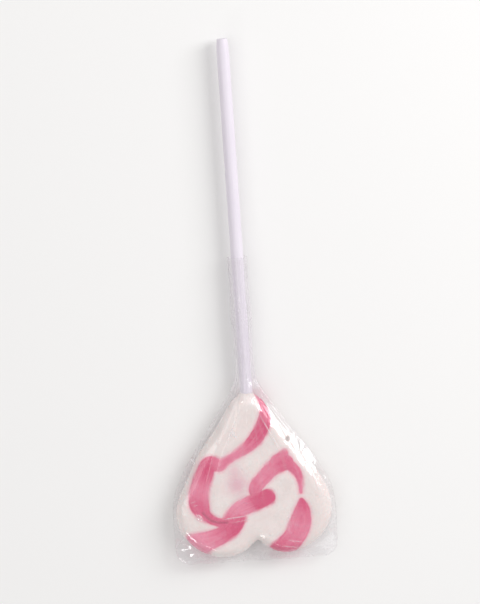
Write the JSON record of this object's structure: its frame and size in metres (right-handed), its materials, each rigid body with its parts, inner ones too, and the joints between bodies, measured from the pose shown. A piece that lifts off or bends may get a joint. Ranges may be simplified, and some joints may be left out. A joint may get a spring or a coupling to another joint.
{
  "type": "heart-shaped swirl lollipop in a clear wrapper",
  "caption": "Flat heart-shaped lollipop of white sugar with a pink swirl, on a straight white stick, in a clear film wrapper gathered round the stick.",
  "frame": {"origin": "middle of the footprint of the lollipop as it lies, at the lowest face of its film", "axes": "+Y along the stick from the heart to its free end, +Z out of the shown face, +X to the right with the stick pointing up"},
  "size_m": [0.0464, 0.149, 0.0078],
  "materials": {
    "white_sugar": "glossy hard pulled sugar, white",
    "pink_sugar": "glossy hard pulled sugar, pink",
    "stick": "smooth white plastic with a lilac cast",
    "clear_film": "thin clear glossy plastic film"
  },
  "bodies": {
    "root": {"candy_white_inner": "white_sugar", "candy_white_outer": "white_sugar", "candy_pink_swirl": "pink_sugar", "candy_pink_side": "pink_sugar", "stick": "stick", "film_wrapper": "clear_film"}
  },
  "joints": []
}
